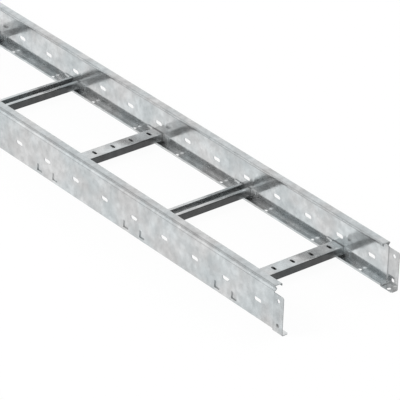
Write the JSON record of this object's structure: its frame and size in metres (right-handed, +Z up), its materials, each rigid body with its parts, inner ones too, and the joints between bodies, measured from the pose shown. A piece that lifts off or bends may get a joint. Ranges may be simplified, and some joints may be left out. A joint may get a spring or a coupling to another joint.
{
  "type": "cable ladder section",
  "caption": "Straight cable ladder section: two formed side rails with a cover groove, slots and lapping tongues, joined by welded C-channel rungs set open side up and back up by turns.",
  "frame": {"origin": "middle of the bounding box, at its underside", "axes": "+X along the rails toward the tongues, +Y across toward the far rail, +Z up"},
  "size_m": [3.03, 0.3036, 0.1018],
  "materials": {
    "rail_sheet": "galvanised sheet, pale zinc with a soft cloudy sheen",
    "rung_sheet": "galvanised sheet, pale zinc with a soft cloudy sheen"
  },
  "bodies": {
    "root": {"side_rail_near": "rail_sheet", "side_rail_far": "rail_sheet", "rung_01": "rung_sheet", "rung_02": "rung_sheet", "rung_03": "rung_sheet", "rung_04": "rung_sheet", "rung_05": "rung_sheet", "rung_06": "rung_sheet", "rung_07": "rung_sheet", "rung_08": "rung_sheet", "rung_09": "rung_sheet", "rung_10": "rung_sheet"}
  },
  "joints": []
}
